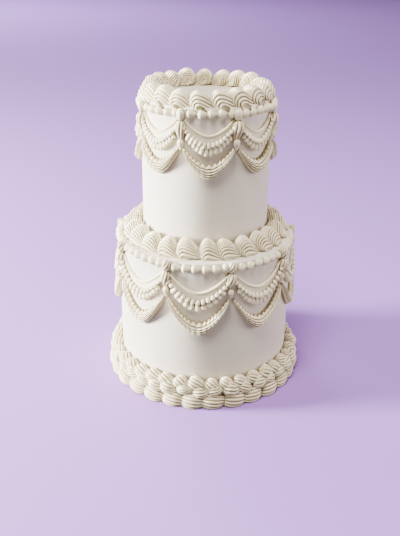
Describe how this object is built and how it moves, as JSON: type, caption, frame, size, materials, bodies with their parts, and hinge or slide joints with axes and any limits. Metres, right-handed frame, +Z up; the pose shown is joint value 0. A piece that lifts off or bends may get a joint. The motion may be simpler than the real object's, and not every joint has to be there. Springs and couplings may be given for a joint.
{
  "type": "lambeth cake",
  "caption": "Tall tiered round cake in cream buttercream, piped with ridged borders, bead chains, draped swags, ruffles and columns.",
  "frame": {"origin": "middle of the cake's base, on the surface it stands on", "axes": "+Z up through the middle of both tiers; the front of the cake faces -Y"},
  "size_m": [0.2135, 0.2137, 0.3139],
  "materials": {
    "smooth_icing": "smooth cream buttercream, matt, with faint palette-knife marks",
    "piped_icing": "piped cream buttercream, soft satin, with fine ridges from the nozzle"
  },
  "bodies": {
    "root": {"base_scroll_border": "piped_icing", "base_shell_border": "piped_icing", "foot_shell_border": "piped_icing", "lower_bead_chain": "piped_icing", "lower_column_1": "piped_icing", "lower_column_2": "piped_icing", "lower_column_3": "piped_icing", "lower_column_4": "piped_icing", "lower_column_5": "piped_icing", "lower_column_6": "piped_icing", "lower_column_7": "piped_icing", "lower_column_8": "piped_icing", "lower_column_9": "piped_icing", "lower_drape_1": "piped_icing", "lower_drape_2": "piped_icing", "lower_drape_3": "piped_icing", "lower_drape_4": "piped_icing", "lower_drape_5": "piped_icing", "lower_drape_6": "piped_icing", "lower_drape_7": "piped_icing", "lower_drape_8": "piped_icing", "lower_drape_9": "piped_icing", "lower_ruffle_1": "piped_icing", "lower_ruffle_2": "piped_icing", "lower_ruffle_3": "piped_icing", "lower_ruffle_4": "piped_icing", "lower_ruffle_5": "piped_icing", "lower_ruffle_6": "piped_icing", "lower_ruffle_7": "piped_icing", "lower_ruffle_8": "piped_icing", "lower_ruffle_9": "piped_icing", "lower_tier": "smooth_icing", "top_shell_border": "piped_icing", "upper_bead_chain": "piped_icing", "upper_column_1": "piped_icing", "upper_column_2": "piped_icing", "upper_column_3": "piped_icing", "upper_column_4": "piped_icing", "upper_column_5": "piped_icing", "upper_column_6": "piped_icing", "upper_column_7": "piped_icing", "upper_column_8": "piped_icing", "upper_drape_1": "piped_icing", "upper_drape_2": "piped_icing", "upper_drape_3": "piped_icing", "upper_drape_4": "piped_icing", "upper_drape_5": "piped_icing", "upper_drape_6": "piped_icing", "upper_drape_7": "piped_icing", "upper_drape_8": "piped_icing", "upper_ruffle_1": "piped_icing", "upper_ruffle_2": "piped_icing", "upper_ruffle_3": "piped_icing", "upper_ruffle_4": "piped_icing", "upper_ruffle_5": "piped_icing", "upper_ruffle_6": "piped_icing", "upper_ruffle_7": "piped_icing", "upper_ruffle_8": "piped_icing", "upper_tier": "smooth_icing"}
  },
  "joints": []
}
